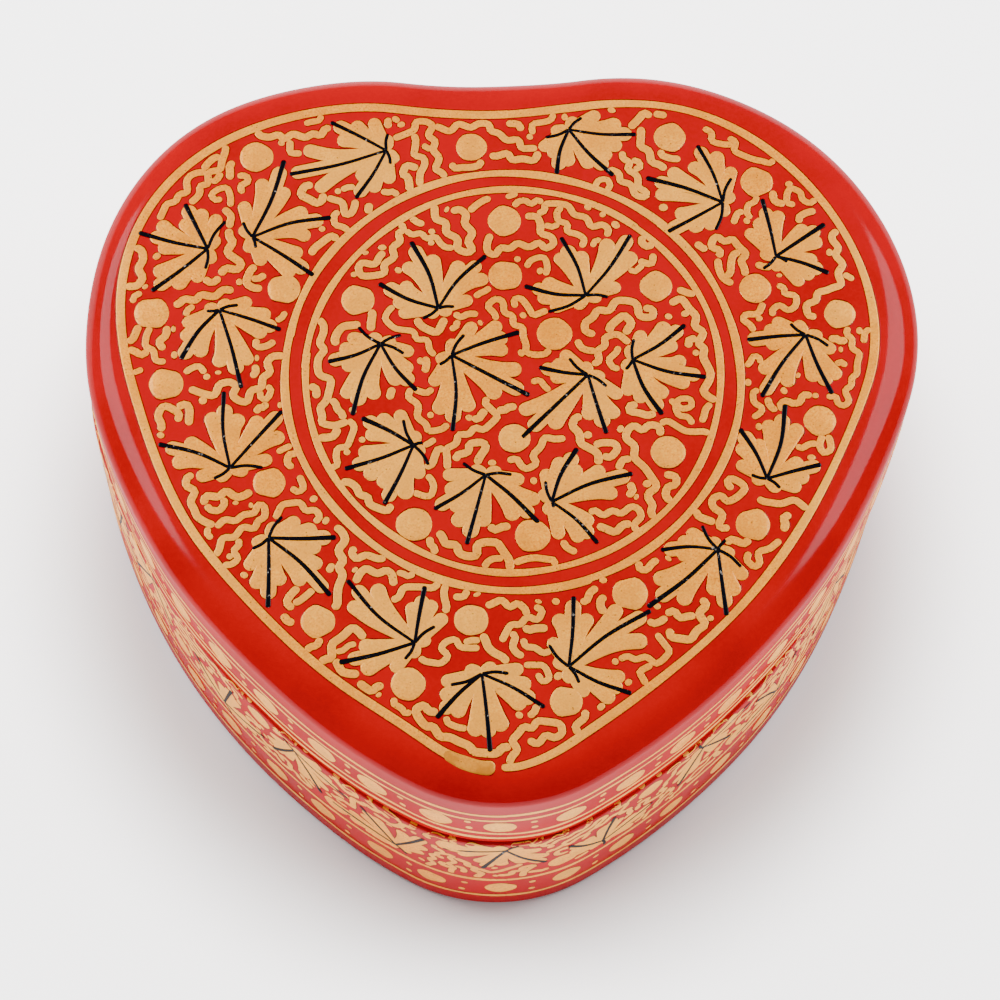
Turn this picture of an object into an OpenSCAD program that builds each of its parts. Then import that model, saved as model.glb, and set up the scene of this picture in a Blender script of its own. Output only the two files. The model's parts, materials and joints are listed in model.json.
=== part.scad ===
// Heart-shaped music box in lacquered papier-mache, with a small wind-up movement under a clear cover.
// The origin is under the middle of the object. +Z is up, -Y is the point of the heart, +Y the hinge side.

/* [Heart outline] */
// Width across the two lobes
body_w = 130; // [124:1:140]
// Radius of each lobe
lobe_r = 43.8; // [42:0.2:46]
// Radius of the long side curves
side_r = 107; // [100:1:115]
// Radius of the rounded point
tip_r = 28; // [24:1:32]
// Radius of the shallow hollow between the lobes
notch_r = 89; // [80:1:100]
// Direction in which a lobe runs into its side curve, in degrees
side_a = -17; // [-20:1:-14]

/* [Box] */
// Height of the closed box
box_h = 56.7; // [56:0.1:60]
// Height of the base's rim, where the lid parts
seam_z = 34.5; // [34:0.1:36]
// Gap between the two rims
seam_gap = 0.3; // [0.2:0.05:0.5]
// Thickness of the papier-mache walls
wall = 3.5; // [3:0.1:4]
// Rounding of the lid's top edge
edge_r = 3.4; // [2:0.2:5]
// Underside of the wooden floor, which makes the recess for the key
floor_z = 11.5; // [11:0.1:12]
// Thickness of the wooden floor
floor_t = 3; // [2.5:0.1:3]
// Front face of the partition before the movement
partition_y = 8; // [4:1:9]

/* [Hinges] */
// Width of each hinge
hinge_w = 14; // [12:1:16]
// Radius of the knuckles
knuckle_r = 1.5; // [1.3:0.1:1.8]
// Radius of the hinge pins
hinge_pin_r = 0.6; // [0.5:0.05:0.8]

/* [Movement] */
// Teeth on the great wheel
great_teeth = 36; // [36]
// Teeth on the cylinder's pinion
pinion_teeth = 10; // [10]
// Teeth on the cylinder's own gear
gear_teeth = 36; // [36]
// Teeth on the governor's pinion
leaf_teeth = 9; // [9]
// Teeth on the worm wheel
worm_teeth = 18; // [18]
// Number of tuned teeth on the comb
comb_teeth = 18; // [12:1:18]
// Running clearance round every shaft
run = 0.05; // [0.02:0.01:0.08]

/* [Hidden] */
$fn = 48;

// Heart outline: centres of its arcs, and where each arc hands over to the next
lobe_c = [body_w / 2 - lobe_r, 17.2];
side_c = lobe_c - (side_r - lobe_r) * [cos(side_a), sin(side_a)];
tip_c = [0, side_c.y - sqrt(pow(side_r - tip_r, 2) - pow(side_c.x, 2))];
notch_c = [0, lobe_c.y + sqrt(pow(lobe_r + notch_r, 2) - pow(lobe_c.x, 2))];
notch_end = atan2(lobe_c.y - notch_c.y, lobe_c.x);
side_end = atan2(tip_c.y - side_c.y, -side_c.x);
front_y = tip_c.y - tip_r;
back_y = lobe_c.y + lobe_r;

// Levels
floor_top = floor_z + floor_t;
lid_z = seam_z + seam_gap;
lid_roof = box_h - wall;
lining_t = 1.5;
collar_t = 1.2;
collar_in = wall + collar_t;
collar_top = seam_z + 2.5;
lid_wall = wall - 0.4;
ledge_w = 2.7;
cover_z = 31.3;
cover_t = 1.8;
partition_t = 2.5;

// Hinges
hinge_y = back_y + knuckle_r + 0.1;
hinge_z = seam_z + seam_gap / 2;
leaf_t = 0.6;
leaf_h = 9;
frame_y = -(hinge_y + knuckle_r + front_y) / 2;
nail_spots = [[-4.6, 5.6], [4.6, 5.6], [0, 7.6]];

// Movement: its plate's middle, and the axes of its shafts
move_y = 32;
plate = [53, 38, 2.4];
plate_x = 0.5;
plate_top = floor_top + plate.z;
arbor_x = -15;
cyl_y = move_y + 3;
cyl_z = 24;
cyl_r = 5.6;
cyl_x = [-1, 16];
pin_len = 0.6;
great_m = 0.5833;
great_r = great_m * great_teeth / 2;
drive_r = great_m * pinion_teeth / 2;
gear_m = 0.36;
gear_r = gear_m * gear_teeth / 2;
leaf_r = gear_m * leaf_teeth / 2;
mesh_a = -20;
gov_y = cyl_y + (gear_r + leaf_r) * cos(mesh_a);
gov_z = cyl_z + (gear_r + leaf_r) * sin(mesh_a);
worm_m = 0.4;
wheel_r = worm_m * worm_teeth / 2;
worm_r = 1.0;
worm_ecc = 0.35;
fly_x = 19.95;
fly_y = gov_y + wheel_r + worm_r;
fan_r = 3;
fan_z = [25.8, 29.2];
stop_x = 25.2;
stop_travel = 2;
arbor_r = 0.8;
gov_arbor_r = 0.5;
wind_r = 1.8;
comb_tip = cyl_y - cyl_r - pin_len - 0.15;
comb_len = 10;
comb_base = 5.5;
comb_t = 0.8;
screw_spots = [[-22, -15], [22, -15], [-22, 15]];

// A circular arc from angle a0 to a1, in n steps, without its last point
function arc(c, r, a0, a1, n) =
    [for (i = [0 : n - 1]) let (a = a0 + (a1 - a0) * i / n) c + r * [cos(a), sin(a)]];

// The right half of the heart, set in by d from the outer face, from the notch to the point
function half_heart(d) = concat(
    arc(notch_c, notch_r + d, -90, notch_end, 3),
    arc(lobe_c, lobe_r - d, notch_end + 180, side_a, 24),
    arc(side_c, side_r - d, side_a, side_end, 10),
    arc(tip_c, tip_r - d, side_end, -90, 8),
    [[0, tip_c.y - tip_r + d]]
);

function heart(d = 0) = let (h = half_heart(d))
    concat(h, [for (i = [len(h) - 2 : -1 : 1]) [-h[i].x, h[i].y]]);

// Outline of a gear: teeth of module m, narrower than their gaps so that they run freely
function gear_outline(teeth, m, tip = 0.75, root = 1.1, thick = 0.42) =
    let (r = m * teeth / 2, p = 360 / teeth)
    [for (i = [0 : teeth - 1], s = [[-0.60, -root], [-thick, 0], [-0.17, tip], [0.17, tip], [thick, 0], [0.60, -root]])
        let (a = (i + s[0] / 2 * (s[1] < 0 ? 1.05 : 1)) * p, q = r + s[1] * m) q * [cos(a), sin(a)]];

// A slab of the heart's shape, set in by d, from z0 to z1
module slab(d, z0, z1) {
    translate([0, 0, z0]) linear_extrude(z1 - z0) polygon(heart(d));
}

// A band that follows the heart between two insets
module band(d0, d1, z0, z1) {
    translate([0, 0, z0]) linear_extrude(z1 - z0) difference() {
        polygon(heart(d0));
        polygon(heart(d1));
    }
}

// What lies in front of (side = -1) or behind (side = 1) the line y
module half_space(y, side) {
    size = 2 * body_w;
    translate([-size / 2, side > 0 ? y : y - size, -1]) cube([size, size, box_h + 2]);
}

// A closed skin through copies of the heart, each at its own inset and height
module loft(sections) {
    n = len(heart());
    top = n * (len(sections) - 1);
    polyhedron(
        points = [for (s = sections, p = heart(s[0])) [p.x, p.y, s[1]]],
        faces = concat(
            [[for (i = [n - 1 : -1 : 0]) i]],
            [[for (i = [0 : n - 1]) top + i]],
            [for (k = [0 : len(sections) - 2], i = [0 : n - 1])
                let (a = k * n + i, b = k * n + (i + 1) % n) [b, b + n, a + n, a]]
        )
    );
}

module along_x(x, y, z) {
    translate([x, y, z]) rotate([90, 0, 90]) children();
}

module rod_x(x0, x1, y, z, r) {
    along_x(x0, y, z) cylinder(h = x1 - x0, r = r);
}

module rod_z(x, y, z0, z1, r) {
    translate([x, y, z0]) cylinder(h = z1 - z0, r = r);
}

module block(x, y, z) {
    translate([x[0], y[0], z[0]]) cube([x[1] - x[0], y[1] - y[0], z[1] - z[0]]);
}

module cheese_screw(x, y, z, head_r, head_h, shank_r, shank_h) {
    difference() {
        rod_z(x, y, z, z + head_h, head_r);
        block([x - head_r, x + head_r], [y - 0.2, y + 0.2], [z + head_h * 0.55, z + head_h + 1]);
    }
    rod_z(x, y, z - shank_h, z, shank_r);
}

// ---- Box ----

module base_shell() color("firebrick") difference() {
    band(0, wall, 0, seam_z);
    hinge_nail_holes(-1);
}

module floor_ledge() color("saddlebrown") band(wall, wall + 2.6, floor_z - 3, floor_z);

module floor_panel() color("burlywood") difference() {
    slab(wall, floor_z, floor_top);
    rod_z(arbor_x, cyl_y, floor_z - 1, floor_top + 1, 2.4);
    for (s = screw_spots) rod_z(s.x, move_y + s.y, floor_z - 1, floor_top + 1, 1.1);
}

module inner_collar() color("darkred") band(wall, wall + collar_t, floor_top, collar_top);

module partition() color("maroon") intersection() {
    slab(collar_in, floor_top, cover_z);
    half_space(partition_y, 1);
    half_space(partition_y + partition_t, -1);
}

module cover_ledge() color("saddlebrown") intersection() {
    band(collar_in, collar_in + ledge_w, cover_z - 2.3, cover_z);
    half_space(partition_y + partition_t, 1);
}

function cover_spots(d) = [for (sx = [-1, 1], a = [4, 70]) let (q = lobe_c + (lobe_r - d) * [cos(a), sin(a)]) [sx * q.x, q.y]];

module clear_cover() color("lightblue", 0.4) difference() {
    intersection() {
        slab(collar_in + 0.1, cover_z, cover_z + cover_t);
        half_space(partition_y, 1);
    }
    rod_z(stop_x, fly_y, cover_z - 1, cover_z + cover_t + 1, 0.95);
    for (s = cover_spots(collar_in + ledge_w / 2)) rod_z(s.x, s.y, cover_z - 1, cover_z + cover_t + 1, 0.6);
}

module cover_screws() color("goldenrod")
    for (s = cover_spots(collar_in + ledge_w / 2))
        cheese_screw(s.x, s.y, cover_z + cover_t, 1.2, 0.7, 0.55, cover_t);

module floor_pad() color("crimson") intersection() {
    slab(collar_in + 1, floor_top, floor_top + 2);
    half_space(partition_y - 0.1, -1);
}

module wall_lining() color("crimson") intersection() {
    band(collar_in, collar_in + 0.9, floor_top, seam_z - 1);
    half_space(partition_y - 0.1, -1);
}

module lid_shell() color("firebrick") difference() {
    loft(concat(
        [[0, lid_z]],
        [for (a = [0 : 22.5 : 90]) [edge_r * (1 - cos(a)), box_h - edge_r + edge_r * sin(a)]]
    ));
    slab(lid_wall, lid_z - 1, lid_roof);
    hinge_nail_holes(1);
}

module lid_lining() color("crimson") slab(wall + 0.3, lid_roof - lining_t, lid_roof);

module lid_peg() color("burlywood") rod_z(stop_x, fly_y, collar_top + 0.4, lid_roof - lining_t, 3);

// ---- Hinges: each leaf is bent to the lobe, and rolls into knuckles on a straight pin ----

module hinge_plate(side, x0) translate([x0, lobe_c.y, 0]) {
    z0 = side > 0 ? lid_z : seam_z - leaf_h;
    half_a = asin(hinge_w / 2 / lobe_r);
    rotate([0, 0, 90 - half_a]) translate([0, 0, z0])
        rotate_extrude(angle = 2 * half_a) translate([lobe_r + 0.02, 0]) square([leaf_t, leaf_h]);
}

// Where each knuckle starts and ends: the base holds the two outer ones, the lid the middle one
function knuckle_spans(side) = side > 0
    ? [[-hinge_w / 6 + 0.1, hinge_w / 6 - 0.1]]
    : [[-hinge_w / 2, -hinge_w / 6 - 0.1], [hinge_w / 6 + 0.1, hinge_w / 2]];

module hinge_leaf(side, x0) color("goldenrod") difference() {
    union() {
        difference() {
            hinge_plate(side, x0);
            for (s = knuckle_spans(-side)) rod_x(x0 + s[0] - 0.2, x0 + s[1] + 0.2, hinge_y, hinge_z, knuckle_r + 0.25);
        }
        for (s = knuckle_spans(side)) rod_x(x0 + s[0], x0 + s[1], hinge_y, hinge_z, knuckle_r);
    }
    rod_x(x0 - hinge_w, x0 + hinge_w, hinge_y, hinge_z, hinge_pin_r + (side > 0 ? run : 0));
    for (s = nail_spots) nail_at(side, x0, s) cylinder(h = 6, r = 0.45, center = true);
}

// Puts a child on the lobe's outer face, pointing outwards, where nail spot s is
module nail_at(side, x0, s) translate([x0, lobe_c.y, hinge_z + side * s[1]])
    rotate([0, 0, 90 - s[0] * 180 / (PI * lobe_r)]) translate([lobe_r, 0, 0]) rotate([0, 90, 0]) children();

module hinge_nail_holes(side)
    for (sx = [-1, 1], s = nail_spots) nail_at(side, sx * lobe_c.x, s) translate([0, 0, -3]) cylinder(h = 6, r = 0.45);

module hinge_nails(side) color("gold")
    for (sx = [-1, 1], s = nail_spots) nail_at(side, sx * lobe_c.x, s) {
        translate([0, 0, -3]) cylinder(h = 3 + leaf_t + 0.02, r = 0.45);
        translate([0, 0, leaf_t + 0.02]) cylinder(h = 0.45, r1 = 0.85, r2 = 0.5);
    }

module hinge_pin(x0) color("gold") rod_x(x0 - hinge_w / 2, x0 + hinge_w / 2, hinge_y, hinge_z, hinge_pin_r);

// ---- Movement: fixed parts ----

module bedplate() color("silver") difference() {
    union() {
        block([plate_x - plate.x / 2, plate_x + plate.x / 2], [move_y - plate.y / 2, move_y + plate.y / 2],
            [floor_top, plate_top]);
        block([cyl_x[0] - 1.5, cyl_x[1] + 1.5], [comb_tip - comb_len - comb_base, comb_tip - comb_len + 0.2],
            [plate_top - 1, cyl_z - comb_t / 2]);
        block([cyl_x[0] - 1.9, cyl_x[0] - 0.5], [cyl_y - 2.5, cyl_y + 2.5], [plate_top - 1, cyl_z + 2.5]);
    }
    rod_z(arbor_x, cyl_y, floor_top - 1, plate_top + 1, wind_r + run);
    rod_x(cyl_x[0] - 3, cyl_x[0], cyl_y, cyl_z, arbor_r + run);
    for (s = screw_spots) rod_z(s.x, move_y + s.y, floor_top - 1, plate_top + 1, 1.0);
    for (x = comb_screw_x()) rod_z(x, comb_screw_y(), plate_top + 1, cyl_z, 0.9);
    for (s = bracket_screws()) rod_z(s.x, s.y, plate_top - 1.6, plate_top + 1, 0.8);
    rod_z(stop_x, fly_y, plate_top - 1.4, plate_top + 1, 0.8);
}

function comb_screw_x() = [cyl_x[0] + 4.2, cyl_x[1] - 4.2];
function comb_screw_y() = comb_tip - comb_len - comb_base / 2;
function bracket_screws() = [[20.7, cyl_y - 1.3], [20.1, fly_y + 2.3]];

module comb() color("lightsteelblue") {
    pitch = (cyl_x[1] - cyl_x[0]) / comb_teeth;
    slot = 0.22;
    difference() {
        block(cyl_x, [comb_tip - comb_len - comb_base, comb_tip], [cyl_z - comb_t / 2, cyl_z + comb_t / 2]);
        for (i = [1 : comb_teeth - 1])
            block([cyl_x[0] + i * pitch - slot / 2, cyl_x[0] + i * pitch + slot / 2],
                [comb_tip - comb_len + 3.5 * i / comb_teeth, comb_tip + 1], [cyl_z - 1, cyl_z + 1]);
        for (x = comb_screw_x()) rod_z(x, comb_screw_y(), cyl_z - 1, cyl_z + 1, 0.9);
    }
}

module comb_screws() color("gold")
    for (x = comb_screw_x()) cheese_screw(x, comb_screw_y(), cyl_z + comb_t / 2, 1.8, 1.1, 0.9, 5);

// Lead weights soldered under the longest teeth
module comb_weights() color("dimgray") {
    pitch = (cyl_x[1] - cyl_x[0]) / comb_teeth;
    for (i = [0 : 7])
        block([cyl_x[0] + (i + 0.2) * pitch, cyl_x[0] + (i + 0.8) * pitch],
            [comb_tip - 3.6 + 0.12 * i, comb_tip - 0.9], [cyl_z - comb_t / 2 - 1.6 + 0.12 * i, cyl_z - comb_t / 2]);
}

housing_r = 8.6;
housing_top = 26.2;

module spring_housing() color("silver") translate([arbor_x, cyl_y, 0]) difference() {
    union() {
        rod_z(0, 0, plate_top, housing_top, housing_r);
        rod_z(0, 0, plate_top, plate_top + 0.7, housing_r + 0.9);
    }
    rod_z(0, 0, plate_top - 1, housing_top - 0.8, housing_r - 0.7);
    rod_z(0, 0, plate_top, housing_top + 1, 1.6 + run);
}

spring_turns = 7.5;
spring_r = [2.15, housing_r - 1.1];
spring_strip = 0.24;

// A point on the mainspring, at t from 0 to 1 along it, moved out by d
function spiral(t, d) = let (a = 360 * spring_turns * t, r = spring_r[0] + (spring_r[1] - spring_r[0]) * t + d)
    r * [cos(a), sin(a)];

// The mainspring, a flat strip wound outwards from the arbor's hub
module mainspring() color("slategray") translate([arbor_x, cyl_y, plate_top + 0.5]) {
    steps = 150;
    linear_extrude(housing_top - plate_top - 1.8) polygon(concat(
        [for (i = [0 : steps]) spiral(i / steps, 0)],
        [for (i = [steps : -1 : 0]) spiral(i / steps, spring_strip)]
    ));
}

module governor_bracket() color("silver") {
    inner_x = [18, 19];
    outer_x = [21.4, 22.2];
    foot_top = plate_top + 1;
    difference() {
        union() {
            block([inner_x[0], outer_x[1]], [cyl_y - 3.3, fly_y + 3.7], [plate_top, foot_top]);
            block(inner_x, [cyl_y - 2.3, gov_y + 1.2], [plate_top, 27.4]);
            block(inner_x, [gov_y - 2.8, gov_y + 1.2], [plate_top, 29.6]);
            block(outer_x, [gov_y - 2.8, gov_y + 1.2], [plate_top, 29.6]);
        }
        rod_x(17, 20, cyl_y, cyl_z, arbor_r + run);
        rod_x(17, 23, gov_y, gov_z, gov_arbor_r + run);
        block([19.3, 20.6], [gov_y - 2.6, gov_y + 2.6], [plate_top - 1, foot_top + 0.01]);
        rod_z(fly_x, fly_y, plate_top - 1, foot_top + 1, gov_arbor_r + run);
        for (s = bracket_screws()) rod_z(s.x, s.y, plate_top - 1, foot_top + 1, 0.8);
    }
}

// The cap that holds the fly shaft's upper end
module governor_cap() color("goldenrod") difference() {
    union() {
        block([18, 22.2], [gov_y - 2.8, gov_y + 1.2], [29.6, 30.2]);
        block([18.6, 21.3], [gov_y + 1.1, fly_y + 1.2], [29.6, 30.2]);
    }
    rod_z(fly_x, fly_y, 29, 31, gov_arbor_r - 0.15 + run);
    rod_z(18.5, gov_y - 1.6, 29, 31, 0.35);
    rod_z(21.8, gov_y - 0.4, 29, 31, 0.3);
}

module governor_screws() color("gold") {
    for (s = bracket_screws()) cheese_screw(s.x, s.y, plate_top + 1, 1.3, 0.8, 0.8, 2.4);
    rod_z(18.5, gov_y - 1.6, 29.6, 30.2, 0.35);
    rod_z(18.5, gov_y - 1.6, 30.2, 30.5, 0.6);
    rod_z(21.8, gov_y - 0.4, 29.6, 30.2, 0.3);
    rod_z(21.8, gov_y - 0.4, 30.2, 30.5, 0.5);
}

module movement_screws() color("silver")
    for (s = screw_spots) translate([s.x, move_y + s.y, floor_z]) mirror([0, 0, 1])
        cheese_screw(0, 0, 0, 2, 0.9, 1.0, floor_t + 2);

module key_escutcheon() color("goldenrod") translate([arbor_x, cyl_y, 0]) difference() {
    rod_z(0, 0, floor_z - 0.5, floor_z, 6);
    rod_z(0, 0, floor_z - 1, floor_z + 1, 2.4);
}

// ---- Stop: the lid's peg holds this rod down, and its flag then stands by the fan ----

module stop_guide() color("goldenrod") difference() {
    union() {
        rod_z(stop_x, fly_y, plate_top, plate_top + 2.6, 1.8);
        rod_z(stop_x, fly_y, plate_top - 1.4, plate_top, 0.8);
    }
    rod_z(stop_x, fly_y, plate_top - 2, plate_top + 4, 0.6 + run);
}

module stop_rod() color("lightsteelblue") {
    rod_z(stop_x, fly_y, plate_top - 1.2, collar_top + 0.2, 0.6);
    rod_z(stop_x, fly_y, 26.2, 26.9, 1.5);
    rod_z(stop_x, fly_y, 27.4, 28.9, 1.1);
    block([fly_x + fan_r + 0.25, stop_x], [fly_y - 0.4, fly_y + 0.4], [27.6, 28.8]);
}

// Its coil spring, turned from a small circle carried round the axis
module stop_spring() color("slategray") translate([stop_x, fly_y, plate_top + 2.6])
    linear_extrude(26.2 - plate_top - 2.6, twist = -360 * 6, slices = 108, $fn = 8)
        translate([1.1, 0]) circle(r = 0.24, $fn = 8);

// ---- Cylinder ----

module cylinder_tube() color("gold") difference() {
    rod_x(cyl_x[0], cyl_x[1], cyl_y, cyl_z, cyl_r);
    rod_x(cyl_x[0] - 1, cyl_x[1] + 1, cyl_y, cyl_z, cyl_r - 0.8);
}

module cylinder_discs() color("goldenrod") for (x = [cyl_x[0] + 0.3, cyl_x[1] - 1.3]) difference() {
    rod_x(x, x + 1, cyl_y, cyl_z, cyl_r - 0.8);
    rod_x(x - 1, x + 2, cyl_y, cyl_z, arbor_r);
}

// Five notes for each tooth, spread round the cylinder so that no two rows strike alike
module cylinder_pins() color("silver") {
    pitch = (cyl_x[1] - cyl_x[0]) / comb_teeth;
    for (i = [0 : comb_teeth - 1], k = [0 : 4])
        along_x(cyl_x[0] + (i + 0.5) * pitch, cyl_y, cyl_z)
            rotate([0, 0, 20 + i * 67 + k * 72 + 11 * ((i * k) % 4)])
                rotate([0, 90, 0]) translate([0, 0, cyl_r - 0.002]) cylinder(h = pin_len, r = 0.2, $fn = 8);
}

module cylinder_arbor() color("lightsteelblue") rod_x(-6, 19.2, cyl_y, cyl_z, arbor_r);

// A gear on an X axis, from x0 to x1, with tooth number 0 towards angle turn above +Y
module x_gear(teeth, m, x0, x1, y, z, bore, turn = 0, thick = 0.42) difference() {
    along_x(x0, y, z) rotate([0, 0, turn]) linear_extrude(x1 - x0) polygon(gear_outline(teeth, m, thick = thick));
    rod_x(x0 - 1, x1 + 1, y, z, bore);
}

module cylinder_pinion() color("goldenrod")
    x_gear(pinion_teeth, great_m, -5.3, -3.7, cyl_y, cyl_z, arbor_r, turn = 90 + 180 / pinion_teeth);

module cylinder_gear() color("gold") x_gear(gear_teeth, gear_m, 16.4, 17.4, cyl_y, cyl_z, arbor_r, turn = mesh_a);

// ---- Great wheel, whose teeth hang down over the pinion ----

great_pitch_z = cyl_z + drive_r;

module great_wheel() color("gold") translate([arbor_x, cyl_y, 0]) {
    root_z = great_pitch_z + 1.1 * great_m;
    tooth = PI * great_m;
    difference() {
        union() {
            rod_z(0, 0, root_z, root_z + 1.2, great_r + 1.4);
            for (i = [0 : great_teeth - 1]) rotate([0, 0, i * 360 / great_teeth])
                translate([great_r - 1.1, 0, great_pitch_z]) rotate([90, 0, 90]) linear_extrude(2.2) polygon([
                    [-0.10 * tooth, -0.7 * great_m], [0.10 * tooth, -0.7 * great_m],
                    [0.20 * tooth, 0], [0.27 * tooth, 1.3 * great_m], [-0.27 * tooth, 1.3 * great_m], [-0.20 * tooth, 0]
                ]);
        }
        rod_z(0, 0, 20, 40, 1.6 + run);
        for (a = [0 : 60 : 300]) rotate([0, 0, a]) rod_z(6.4, 0, 20, 40, 1.5);
        rotate([0, 0, 150]) rod_z(9.6, 0, root_z + 0.2, 40, 0.5);
    }
}

great_top = great_pitch_z + 1.1 * great_m + 1.2;

// A bent strip, riveted to the great wheel, that lets the ratchet turn one way
module click_spring() color("slategray") translate([arbor_x, cyl_y, great_top]) rotate([0, 0, 150]) {
    rod_z(9.6, 0, -0.8, 1.1, 0.5);
    linear_extrude(0.8) difference() {
        union() {
            translate([9.6, 0]) circle(r = 1.2);
            polygon(concat(arc([0, 0], 10.2, 0, 80, 8), [[0.9, 10.0], [-0.6, 3.95], [0.3, 4.1], [1.8, 8.9]],
                arc([0, 0], 9.4, 75, 0, 8)));
        }
        translate([9.6, 0]) circle(r = 0.5);
    }
}

// ---- Winding arbor, from the key up to the ratchet ----

module winding_arbor() color("lightsteelblue") translate([arbor_x, cyl_y, 0]) {
    rod_z(0, 0, 3.6, 9.8, 1.4);
    rod_z(0, 0, 9.8, plate_top + 0.3, wind_r);
    rod_z(0, 0, plate_top + 0.3, housing_top - 1.1, 2);
    rod_z(0, 0, housing_top - 1.1, great_top + 0.1, 1.6);
    rod_z(0, 0, great_top + 0.1, great_top + 1.4, 1.3);
}

module ratchet_wheel() color("gold") translate([arbor_x, cyl_y, great_top + 0.1]) {
    teeth = 12;
    difference() {
        linear_extrude(0.9) polygon([for (i = [0 : teeth - 1], s = [[0, 3.0], [0.12, 3.8]])
            let (a = (i + s[0]) * 360 / teeth) s[1] * [cos(a), sin(a)]]);
        rod_z(0, 0, -1, 2, 1.3);
    }
}

module winding_key() color("goldenrod") translate([arbor_x, cyl_y, 0]) difference() {
    union() {
        rod_z(0, 0, 1.6, 9.6, 2.5);
        translate([0, 0.9, 0]) rotate([90, 0, 0]) linear_extrude(1.8) union() {
            for (sx = [-1, 1]) translate([sx * 7.6, 4.9]) circle(r = 3.9);
            translate([-7.6, 2.8]) square([15.2, 4.6]);
        }
    }
    rod_z(0, 0, 3.6, 10, 1.4);
    for (sx = [-1, 1]) translate([sx * 7.8, 3, 4.9]) rotate([90, 0, 0]) cylinder(h = 6, r = 1.6);
}

// ---- Governor ----

module governor_arbor() color("lightsteelblue") rod_x(15.9, 22.2, gov_y, gov_z, gov_arbor_r);

module governor_pinion() color("goldenrod")
    x_gear(leaf_teeth, gear_m, 16.2, 17.6, gov_y, gov_z, gov_arbor_r, turn = 180 + mesh_a + 180 / leaf_teeth);

module worm_wheel() color("gold")
    x_gear(worm_teeth, worm_m, fly_x - 0.35, fly_x + 0.35, gov_y, gov_z, gov_arbor_r, thick = 0.30);

module fly_shaft() color("lightsteelblue") {
    rod_z(fly_x, fly_y, plate_top + 0.2, 29.4, gov_arbor_r);
    rod_z(fly_x, fly_y, 29.4, 30, gov_arbor_r - 0.15);
}

// One thread: a circle carried round off centre, so that its edge climbs one tooth of the wheel each turn
module worm() color("silver") {
    lead = PI * worm_m;
    turns = 4;
    difference() {
        translate([fly_x, fly_y, gov_z - lead * turns / 2])
            linear_extrude(lead * turns, twist = -360 * turns, slices = 64, $fn = 24)
                rotate([0, 0, 90]) translate([worm_ecc, 0]) circle(r = worm_r, $fn = 24);
        rod_z(fly_x, fly_y, 10, 30, gov_arbor_r);
    }
}

module fan() color("gold") translate([fly_x, fly_y, 0]) difference() {
    union() {
        rod_z(0, 0, fan_z[0], fan_z[1], 0.9);
        block([-fan_r + 0.1, fan_r - 0.1], [-0.2, 0.2], [fan_z[0], fan_z[1]]);
    }
    rod_z(0, 0, fan_z[0] - 1, fan_z[1] + 1, gov_arbor_r);
}

// Sets a part into the object's frame, whose origin is under the middle of the whole box
module set_in() translate([0, frame_y, 0]) children();

set_in() base_shell();
set_in() floor_ledge();
set_in() floor_panel();
set_in() inner_collar();
set_in() partition();
set_in() cover_ledge();
set_in() clear_cover();
set_in() cover_screws();
set_in() floor_pad();
set_in() wall_lining();
set_in() lid_shell();
set_in() lid_lining();
set_in() lid_peg();
set_in() hinge_leaf(-1, -lobe_c.x);  // hinge_base_leaf_left
set_in() hinge_leaf(-1, lobe_c.x);  // hinge_base_leaf_right
set_in() hinge_leaf(1, -lobe_c.x);  // hinge_lid_leaf_left
set_in() hinge_leaf(1, lobe_c.x);  // hinge_lid_leaf_right
set_in() hinge_pin(-lobe_c.x);  // hinge_pin_left
set_in() hinge_pin(lobe_c.x);  // hinge_pin_right
set_in() hinge_nails(-1);  // hinge_base_nails
set_in() hinge_nails(1);  // hinge_lid_nails
set_in() bedplate();
set_in() comb();
set_in() comb_screws();
set_in() comb_weights();
set_in() spring_housing();
set_in() mainspring();
set_in() governor_bracket();
set_in() governor_cap();
set_in() governor_screws();
set_in() movement_screws();
set_in() key_escutcheon();
set_in() stop_guide();
set_in() stop_spring();
set_in() stop_rod();
set_in() cylinder_tube();
set_in() cylinder_discs();
set_in() cylinder_pins();
set_in() cylinder_arbor();
set_in() cylinder_pinion();
set_in() cylinder_gear();
set_in() great_wheel();
set_in() click_spring();
set_in() winding_arbor();
set_in() ratchet_wheel();
set_in() winding_key();
set_in() governor_arbor();
set_in() governor_pinion();
set_in() worm_wheel();
set_in() fly_shaft();
set_in() worm();
set_in() fan();
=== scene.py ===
# Heart-shaped music box: red lacquer painted in gold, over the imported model
import math
import random

import bpy
import numpy as np
from mathutils import Matrix, Vector
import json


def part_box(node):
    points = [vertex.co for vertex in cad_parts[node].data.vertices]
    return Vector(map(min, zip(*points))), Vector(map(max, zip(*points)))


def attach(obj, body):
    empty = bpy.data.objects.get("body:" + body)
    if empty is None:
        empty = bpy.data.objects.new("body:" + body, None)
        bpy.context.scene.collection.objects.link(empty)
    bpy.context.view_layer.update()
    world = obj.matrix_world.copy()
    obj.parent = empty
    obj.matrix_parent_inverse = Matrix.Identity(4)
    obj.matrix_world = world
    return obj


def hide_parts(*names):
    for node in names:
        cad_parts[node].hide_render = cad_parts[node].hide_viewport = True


mm = 0.001
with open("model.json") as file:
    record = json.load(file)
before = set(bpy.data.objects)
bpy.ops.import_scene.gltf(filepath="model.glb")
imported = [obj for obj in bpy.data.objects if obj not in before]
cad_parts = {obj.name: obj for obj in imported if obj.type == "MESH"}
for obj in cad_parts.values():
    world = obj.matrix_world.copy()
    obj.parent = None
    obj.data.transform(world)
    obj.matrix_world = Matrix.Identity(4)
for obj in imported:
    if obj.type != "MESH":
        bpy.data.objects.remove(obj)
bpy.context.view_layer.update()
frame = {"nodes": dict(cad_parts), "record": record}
bpy.ops.object.select_all(action="DESELECT")
baseLow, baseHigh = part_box("base_shell")
lidLow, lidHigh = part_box("lid_shell")
topZ = lidHigh.z
rimZ = baseHigh.z
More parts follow.
